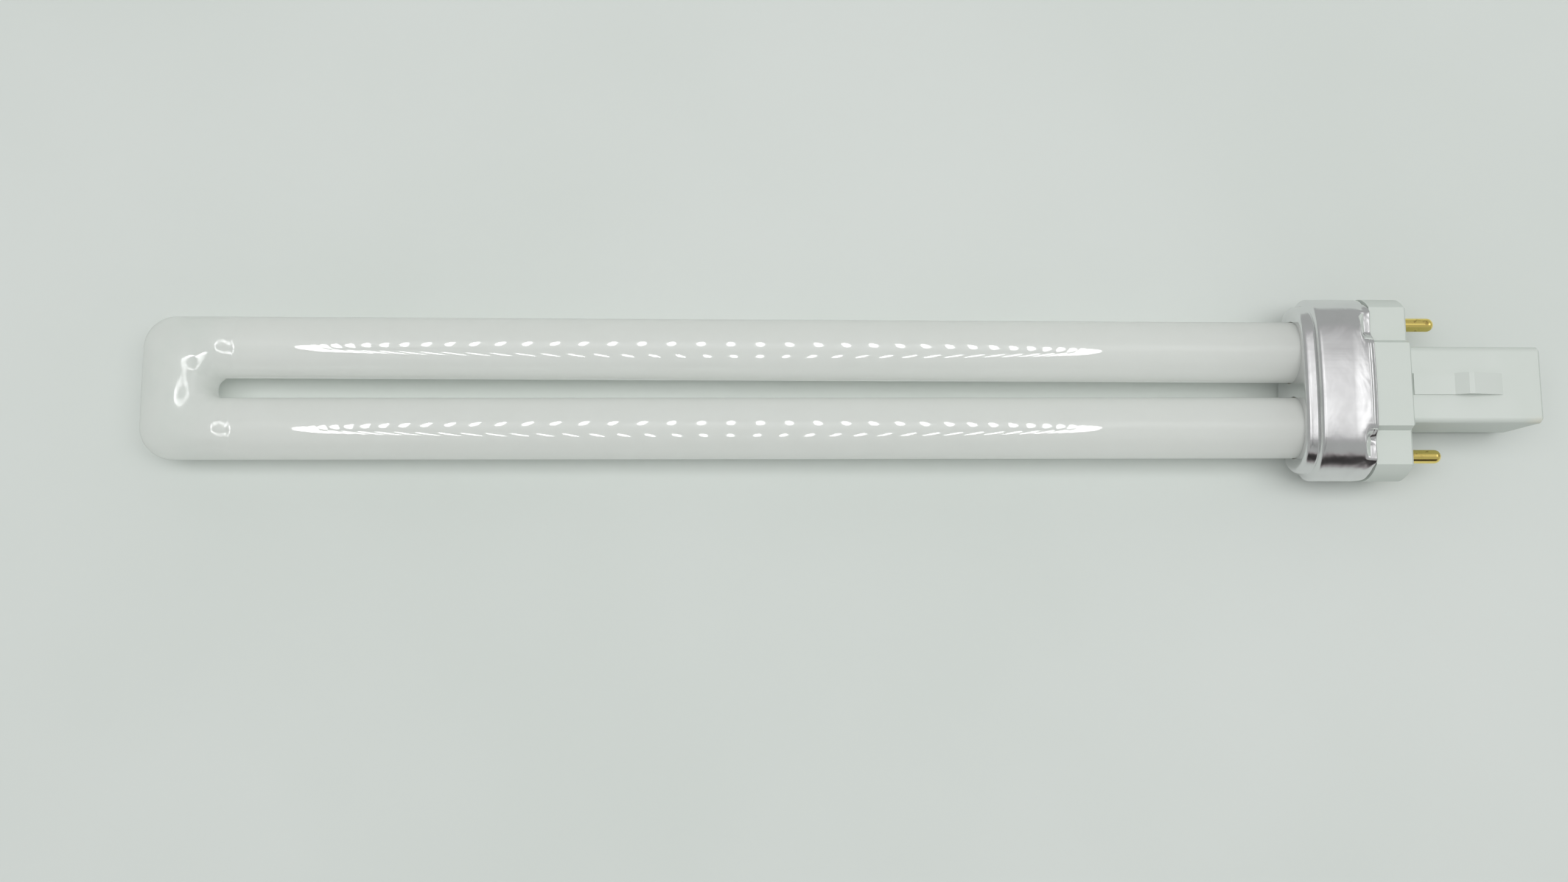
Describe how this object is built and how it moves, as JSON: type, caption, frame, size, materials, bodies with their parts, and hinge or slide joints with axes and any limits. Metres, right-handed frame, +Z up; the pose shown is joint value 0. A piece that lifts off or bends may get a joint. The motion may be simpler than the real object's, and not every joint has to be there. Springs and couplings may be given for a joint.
{
  "type": "u shaped fluorescent bulb",
  "caption": "Compact fluorescent bulb: one glass tube moulded into a narrow U, in an oval metal collar and a plastic plug-in base with round contact pins and a square starter post.",
  "frame": {"origin": "under the middle of the bulb, on the surface it lies on: halfway between the outside of the glass bend and the free end of the starter post, and halfway across the legs", "axes": "+X along the legs, from the glass bend towards the base and its contact pins; +Y across the two legs, towards the left pin; +Z up, square to the plane of both legs"},
  "size_m": [0.2354, 0.0314, 0.0165],
  "materials": {
    "white_glass": "glossy clear glass over a white inner coating, opaque",
    "collar_metal": "polished",
    "base_plastic": "semi-gloss moulded",
    "pin_brass": "bright drawn",
    "cement": "matt, rough",
    "starter_glass": "clear",
    "capacitor_coating": "dipped lacquer",
    "lead_wire": "drawn nickel-iron wire"
  },
  "bodies": {
    "root": {"discharge_tube": "white_glass", "end_collar": "collar_metal", "base_housing": "base_plastic", "contact_pin_left": "pin_brass", "contact_pin_right": "pin_brass", "tube_cement": "cement", "starter_bulb": "starter_glass", "starter_capacitor": "capacitor_coating", "pin_lead_left": "lead_wire", "pin_lead_right": "lead_wire", "starter_lead_left": "lead_wire", "starter_lead_right": "lead_wire"}
  },
  "joints": []
}
